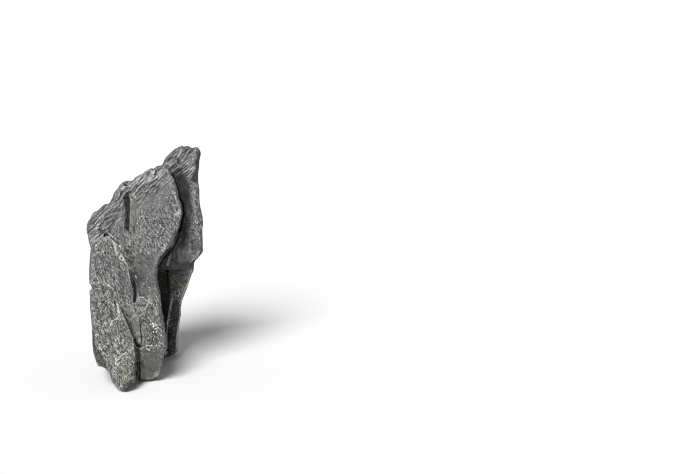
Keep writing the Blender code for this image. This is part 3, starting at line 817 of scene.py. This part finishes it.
# Darker and lighter areas of the blades, with painted shade in the channel, on the knob's right side,
# over the step and on the lower blade, and a painted highlight on a lit rim, in the same form as
# SLAB_TONES_AND_SHADE.
BLADE_SHADE_AND_HIGHLIGHT = [
    ([(172, 150), (200, 150), (200, 180), (172, 180)], 3, -0.06),
    ([(178, 236), (202, 236), (202, 262), (178, 262)], 3, -0.16),
    ([(196, 156), (199, 150), (202, 154), (200.5, 176), (197, 183), (189.5, 180), (193, 174),
      (195.5, 166)], 0.9, -0.78),
    ([(185, 271), (193, 269), (192, 278), (187, 282)], 2, 0.5),
    ([(150, 263), (171, 263), (171, 273), (150, 273)], 2, -0.4),
    ([(172, 174), (181, 177), (187, 185), (188, 202), (186, 220), (177, 202)], 2.5, -0.48),
    ([(171, 170), (179, 167), (187, 176), (189, 200), (187, 236), (176, 262), (168, 262),
      (176, 215)], 3, -0.36),
    ([(190, 182), (202, 182), (202, 262), (190, 262)], 4, -0.08),
    ([(156, 258), (170, 244), (174, 258), (181, 263.5), (196, 259), (194, 268), (181, 272), (170, 278),
      (164, 290), (156, 290)], 1.6, -0.60),
    ([(166, 300), (184, 300), (182, 320), (179, 356), (164, 358), (164, 330)], 4, -0.80),
    ([(156, 272), (172, 272), (168, 300), (168, 356), (164, 358), (164, 330), (158, 300)], 2, -0.5),
]
# The lower left flank, with a painted shadow that darkens it.
LEFT_FLANK_SHADOW = [
    (88, 326), (93.5, 330), (96, 345), (100, 352), (104, 355), (105, 362), (108.5, 372), (96, 370), (88, 350),
]


def line_distance(places, paths):
    """How far each place is from the nearest of some lines, in millimetres."""
    return np.min([path_distance(places, path)[0] for path in paths], axis=0) * PIXEL_MM


def veins(points, normals, on_slab):
    """How far each point is from the nearest strong vein and from the nearest faint one, in millimetres."""
    spots = seen(points) + np.stack([noise(points, 3.0, 91), noise(points, 3.0, 92)], axis=1) * 0.5
    strong = np.minimum(line_distance(spots, VEINS), VEIN_REACH) + VEIN_REACH * (1 - on_slab)
    blades = np.minimum(line_distance(spots, BLADE_VEINS), VEIN_REACH)
    blades = blades + VEIN_REACH * slab_part(points) + VEIN_REACH * facing(normals, 0.3, 0.1)
    faint = line_distance(spots, FAINT_VEINS)
    # Veins across the back and the sides, each where a bent sheet of calcite meets the surface.
    hidden = VEIN_REACH * facing(normals, -0.15, 0.05)
    bend = 5 * noise(points, 30, 93) + 1.5 * noise(points, 9, 94)
    for place, way in SHEETS:
        sheet = np.abs((points - place) @ (np.array(way) / np.linalg.norm(way)) + bend)
        faint = np.minimum(faint, sheet + hidden)
    return {"vein": np.minimum(strong, blades), "faint": np.minimum(faint, VEIN_REACH)}


def stains(points):
    """1 where the stone is stained olive."""
    other = ease(noise(points, 34, 95) - points[:, 2] / 400, 0.1, 0.5) * 0.6
    return np.where(points[:, 1] < 10, np.clip(blobs(seen(points), STAINS), 0, 1), other)


def tones_shade_and_highlight(points, normals):
    """How light the stone is at each point, 1 as light as most of it, with painted shade and highlights."""
    spots = seen(points)
    x, y = spots[:, 0], spots[:, 1]
    on_slab = slab_part(points)
    front = facing(normals, -0.1, 0.2)
    tone = np.ones(len(points))
    for outline, soft, change in SLAB_TONES_AND_SHADE:
        tone *= 1 + change * area(spots, outline, soft, soft)
    tone += 0.12 * ease(x, *LIGHT_RIGHT) * ease(y, *LIGHT_DOWN) * ease(x, *LIGHT_LEFT)
    tone = 1 + (tone - 1) * on_slab * front
    rim = ease(outline_gap(spots, WHOLE_OUTLINE)[0], 1.7, 0.4) * ease(y, *RIM_DOWN)
    tone *= 1 - 0.4 * rim
    for outline, soft, change in BLADE_SHADE_AND_HIGHLIGHT:
        tone *= 1 + change * area(spots, outline, soft, soft) * front * (1 - on_slab)
    # A painted shadow darkens the lower left flank.
    flank_shadow = area(spots, LEFT_FLANK_SHADOW, 0.8, 1.4) * facing(normals, -0.05, 0.15)
    tone *= 1 - 0.7 * flank_shadow * ease(points[:, 1], 5, -5)
    # Broad light and dark areas on the sides that the photograph doesn't show.
    return tone * (1 + (1 - front) * (0.35 * noise(points, 38, 96) + 0.22 * noise(points, 15, 97)))


def borders(points, normals):
    """How clear the painted highlight on a lit border of the blades is at each point."""
    spots = seen(points)
    clear = [share * near_line(spots, path, wide, wide * 0.3) for path, wide, share in BLADE_RIM_HIGHLIGHTS]
    return np.max(clear, axis=0) * (1 - slab_part(points)) * facing(normals, 0.05, 0.3)


def cleft_shade_weight(points):
    """How much painted shade darkens the clefts: most under the overhang of the blade, and some up high."""
    low = ease(seen(points)[:, 1], *OVERHANG_SHADE_DOWN) * ease(points[:, 0], -20, 0)
    return np.clip(0.25 + 0.9 * low + 0.7 * ease(points[:, 2], 165, 185), 0, 1.3)


class Nodes:
    """Short ways to add shader nodes."""

    def __init__(self, tree):
        self.tree = tree

    def new(self, kind, inputs=None, **settings):
        """The outputs of a new node, whose inputs are given by name or by number."""
        node = self.tree.nodes.new(kind)
        for name, value in settings.items():
            setattr(node, name, value)
        for name, value in (inputs or {}).items():
            if isinstance(value, bpy.types.NodeSocket):
                self.tree.links.new(value, node.inputs[name])
            else:
                node.inputs[name].default_value = value
        return node.outputs

    def math(self, operation, first, *others):
        """One operation on all the values in turn."""
        for other in others or (0.0,):
            first = self.new("ShaderNodeMath", {0: first, 1: other}, operation=operation)[0]
        return first

    def off(self, value, middle):
        return self.math("ABSOLUTE", self.math("SUBTRACT", value, middle))

    def blend(self, share, first, second):
        return self.new("ShaderNodeMix", {0: share, 2: first, 3: second}, data_type="FLOAT")[0]

    def between(self, value, low, high, to_low=0.0, to_high=1.0):
        inputs = dict(enumerate((value, low, high, to_low, to_high)))
        return self.new("ShaderNodeMapRange", inputs, interpolation_type="SMOOTHSTEP")[0]

    def mix(self, share, first, second, blend="MIX"):
        inputs = {0: share, 6: first, 7: second}
        return self.new("ShaderNodeMix", inputs, data_type="RGBA", blend_type=blend)[2]

    def tinted(self, share, colour, tint):
        return self.mix(share, colour, self.mix(1.0, colour, tint, "MULTIPLY"))

    def noise(self, places, per_metre, detail=2.0, rough=0.5, warp=0.0):
        inputs = {"Vector": places, "Scale": per_metre, "Detail": detail}
        return self.new("ShaderNodeTexNoise", {**inputs, "Roughness": rough, "Distortion": warp})[0]

    def scatter(self, places, per_metre):
        """How far the nearest of many scattered points is, in cell sizes, and its chance."""
        cell = self.new("ShaderNodeTexVoronoi", {"Vector": places, "Scale": per_metre})
        return cell["Distance"], self.new("ShaderNodeSeparateColor", {"Color": cell["Color"]})[0]

    def attribute(self, name):
        return self.new("ShaderNodeAttribute", attribute_name=name)["Fac"]

    def along(self, places, degrees, place, stretch):
        """The places in axes turned to run along the bedding and drawn out there."""
        turn = (0, -math.radians(degrees), 0)
        inputs = {"Vector": places, "Location": place, "Rotation": turn, "Scale": stretch}
        return self.new("ShaderNodeMapping", inputs, vector_type="TEXTURE")[0]


def grain_lines(make, places, degrees, fine, wide, seed, long):
    """Two patterns drawn out along the bedding: soft light and dark fibres, and thin dark crevices."""
    along = make.along(places, degrees, (seed, 0, 0), (long, 1.6, 1.0))
    fibre = make.noise(along, fine, 3, 0.65, 0.4)
    thin = make.noise(along, wide, 2, 0.5, 0.8)
    return fibre, make.between(make.off(thin, 0.5), 0.035, 0.0)


def strokes(make, places, degrees, per_metre, long, seed, low, high):
    """Short straight marks along one direction, each in a cell of a scatter: 1 in the middle of a mark."""
    along = make.along(places, degrees, (seed, seed, seed), (long, 1.4, 1.0))
    distance, chance = make.scatter(along, per_metre)
    return make.math("MULTIPLY", make.between(distance, high, low), make.math("GREATER_THAN", chance, 0.35))


def limestone():
    """Grey limestone, light and dark marks on its bedding, stains, calcite, painted shade and highlights."""
    material = bpy.data.materials.new("limestone")
    material.use_nodes = True
    tree = material.node_tree
    shader = tree.nodes["Principled BSDF"]
    make = Nodes(tree)
    between, mix = make.between, make.mix
    times, most = partial(make.math, "MULTIPLY"), partial(make.math, "MAXIMUM")
    plus, minus = partial(make.math, "ADD"), partial(make.math, "SUBTRACT")
    places = make.new("ShaderNodeTexCoord")["Object"]
    rising = make.attribute("rising")
    rough = minus(1.0, times(make.attribute("smooth"), 0.75))
    # Fibres and crevices follow the bedding, which rises or falls to the right or stands upright.
    fibre, crevice = grain_lines(make, places, -66, 800, 330, 3.0, 2.6)
    for share, degrees, seed, long in ((make.attribute("falling"), -56, 5.0, 3.2), (rising, 42, 7.0, 8.0)):
        other_fibre, other_crevice = grain_lines(make, places, degrees, 760, 330, seed, long)
        fibre = make.blend(share, fibre, other_fibre)
        crevice = make.blend(share, crevice, other_crevice)
    # Short pale and dark marks: painted highlights on the lit lips and painted shade in the cut borders of
    # the beds on the crest, and marks that cross elsewhere.
    part = make.math("FRACT", make.attribute("bed"))
    border = times(between(make.off(part, 0.5), 0.33, 0.47), make.attribute("cut"))
    lip_highlight = between(make.off(part, 0.74), 0.14, 0.02)
    lip_highlight = times(lip_highlight, between(make.noise(places, 300, 2), 0.48, 0.62))
    pale = make.blend(rising, strokes(make, places, -58, 420, 3.2, 11.0, 0.08, 0.26), times(lip_highlight, 0.65))
    pale = most(pale, times(strokes(make, places, 38, 420, 3.0, 13.0, 0.06, 0.22), 0.8))
    thin = times(strokes(make, places, 42, 380, 7.0, 15.0, 0.10, 0.28), 0.8)
    thin = most(times(border, 0.7), thin)
    dark = make.blend(rising, strokes(make, places, -62, 400, 3.2, 14.0, 0.08, 0.26), thin)
    dark = most(dark, times(strokes(make, places, 52, 420, 2.6, 16.0, 0.06, 0.22), 0.8))
    mottle = make.noise(places, 760, 1)
    speck = make.noise(places, 1150, 2, 0.6)
    # Brightness: a mid grey, made lighter and darker by each pattern in turn.
    tone = between(make.noise(places, 26, 3, 0.6), 0.32, 0.68, 0.092, 0.128)
    tone = times(tone, between(make.noise(places, 90, 3, 0.6), 0.3, 0.7, 0.86, 1.14))
    for pattern, low, high, darkest, lightest in (
        (fibre, 0.38, 0.62, 0.47, 1.64),
        (mottle, 0.32, 0.68, 0.70, 1.36),
        (speck, 0.34, 0.66, 0.64, 1.47),
        (pale, 0.0, 1.0, 1.0, 2.1),
        (dark, 0.0, 1.0, 1.0, 0.30),
    ):
        tone = times(tone, make.blend(rough, 1.0, between(pattern, low, high, darkest, lightest)))
    cut = times(crevice, between(make.noise(places, 60, 2), 0.42, 0.6), rough)
    # The tone attribute also holds painted shade and painted highlights.
    tone = times(tone, between(cut, 0, 1, 1.0, 0.35), make.attribute("tone"))
    colour = mix(1.0, tone, (1.0, 1.005, 0.995, 1), "MULTIPLY")
    # Olive stains.
    stain = times(make.attribute("stain"), between(make.noise(places, 120, 3, 0.6), 0.3, 0.6), 0.8)
    colour = make.tinted(stain, colour, (1.12, 1.10, 0.80, 1))
    # Painted highlight on thin ridges, partly pale wear, and painted shade in creases.
    colour = make.tinted(between(make.attribute("ridge"), 0.03, 0.22, 0, 1), colour, (1.6, 1.6, 1.58, 1))
    hollow = between(make.attribute("cavity"), 0.05, 0.7, 0, 0.85)
    colour = mix(hollow, colour, (0.018, 0.018, 0.017, 1))
    # Painted shade deep in the clefts and under the overhang, where little light reaches.
    cleft_shade = times(between(make.attribute("open"), 0.62, 0.2), make.attribute("cleft_shade_weight"), 0.85)
    colour = mix(cleft_shade, colour, (0.020, 0.021, 0.018, 1))
    # Painted highlights on the lit borders of the blades.
    border = times(make.attribute("border"), between(mottle, 0.2, 0.5))
    colour = mix(border, colour, (0.7, 0.7, 0.67, 1))
    # Calcite: crystals scattered in patches, and veins.
    distance, chance = make.scatter(places, 420)
    patch = between(make.noise(places, 45, 2), 0.46, 0.62)
    crowded = make.attribute("crystals")
    flecks = times(between(distance, 0.38, 0.18), most(times(patch, 0.6), crowded))
    flecks = times(flecks, make.math("GREATER_THAN", chance, 0.6))
    ragged = times(minus(make.noise(places, 600, 2), 0.5), 2.4)
    broken = between(make.noise(places, 300, 2), 0.34, 0.48)
    strong = times(between(plus(make.attribute("vein"), ragged), 0.95, 0.35), 0.85)
    faint = times(between(plus(make.attribute("faint"), ragged), 0.9, 0.4), 0.5)
    calcite = most(times(most(strong, faint), broken), times(flecks, 0.8))
    colour = mix(calcite, colour, (0.44, 0.44, 0.415, 1))
    colour = mix(times(flecks, crowded, 0.7), colour, (0.85, 0.85, 0.83, 1))
    tree.links.new(colour, shader.inputs["Base Color"])
    tree.links.new(between(calcite, 0, 1, 0.8, 0.5), shader.inputs["Roughness"])
    shader.inputs["Specular IOR Level"].default_value = 0.3
    height = plus(fibre, times(speck, 0.5), times(mottle, 0.8), times(pale, 0.25))
    height = minus(height, times(most(cut, dark), 0.45))
    bump = make.new("ShaderNodeBump", {"Height": times(height, rough), "Distance": 0.0015, "Strength": 0.9})
    tree.links.new(bump[0], shader.inputs["Normal"])
    return material


def build_stone():
    mesh = stone_mesh()
    stone = placed("seiryu_stone", mesh)
    mesh.materials.clear()
    mesh.materials.append(limestone())
    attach(stone, "root")
    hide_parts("stone")


def plain(name, colour, rough):
    material = bpy.data.materials.new(name)
    material.use_nodes = True
    shader = material.node_tree.nodes["Principled BSDF"]
    shader.inputs["Base Color"].default_value = colour
    shader.inputs["Roughness"].default_value = rough
    shader.inputs["Specular IOR Level"].default_value = 0.1
    return material


def turned_sheet(name, profile, material):
    """A sheet made by turning a profile, given as pairs of radius and height in metres, round the Z axis."""
    mesh = bpy.data.meshes.new(name)
    mesh.from_pydata([(x, 0, z) for x, z in profile], [(i, i + 1) for i in range(len(profile) - 1)], [])
    mesh.materials.append(material)
    sheet = placed(name, mesh)
    screw = sheet.modifiers.new("Round", "SCREW")
    screw.steps = screw.render_steps = 96
    screw.use_merge_vertices = True
    screw.merge_threshold = 0.0001
    screw.use_normal_flip = True
    return sheet


def build_floor():
    """A pale round floor, and a softly lit backdrop that curves up from its rim."""
    floor = plain("floor", (FLOOR_TONE, FLOOR_TONE, FLOOR_TONE, 1), 0.9)
    turned_sheet("floor", [(0.0, 0.0), (FLOOR_RADIUS, 0.0)], floor)
    backdrop = plain("backdrop", (0.1, 0.1, 0.1, 1), 0.9)
    shader = backdrop.node_tree.nodes["Principled BSDF"]
    shader.inputs["Emission Color"].default_value = (1, 1, 1, 1)
    shader.inputs["Emission Strength"].default_value = BACKDROP_LIGHT
    curve = []
    for a in np.linspace(0, math.pi / 2, 10):
        out, down = BACKDROP_BEND * math.sin(a), BACKDROP_BEND * math.cos(a)
        curve.append((FLOOR_RADIUS + out, BACKDROP_BEND - down))
    wall = turned_sheet("backdrop", curve + [(FLOOR_RADIUS + BACKDROP_BEND, BACKDROP_TOP)], backdrop)
    wall.visible_shadow = False


def build_light():
    key = bpy.data.lights.new("key", "SUN")
    key.energy = KEY_STRENGTH
    key.angle = math.radians(KEY_SPREAD)
    azimuth, elevation = math.radians(KEY_AZIMUTH), math.radians(KEY_ELEVATION)
    level = math.cos(elevation)
    towards = Vector((math.sin(azimuth) * level, -math.cos(azimuth) * level, math.sin(elevation)))
    placed("key", key).rotation_euler = towards.to_track_quat("Z", "Y").to_euler()
    world = bpy.data.worlds.new("studio")
    world.use_nodes = True
    sky = world.node_tree.nodes["Background"]
    sky.inputs["Color"].default_value = (1, 1, 1, 1)
    sky.inputs["Strength"].default_value = SKY_STRENGTH
    bpy.context.scene.world = world
    bpy.context.scene.view_settings.view_transform = "Standard"
    bpy.context.scene.cycles.filter_width = 1.0


def build_camera():
    data = bpy.data.cameras.new("camera")
    data.sensor_fit = "HORIZONTAL"
    data.sensor_width = SENSOR_WIDTH
    data.lens = SENSOR_WIDTH * FOCAL_PIXELS / IMAGE_SIZE[0]
    data.clip_start = 0.05
    camera = placed("camera", data)
    axes = np.stack([RIGHT, UP, -FORWARD], axis=1)
    rows = [list(row) + [place] for row, place in zip(axes, CAMERA_PLACE * MM)]
    camera.matrix_world = Matrix(rows + [[0, 0, 0, 1]])
    bpy.context.scene.camera = camera


build_stone()
build_floor()
build_light()
build_camera()
bpy.context.view_layer.update()
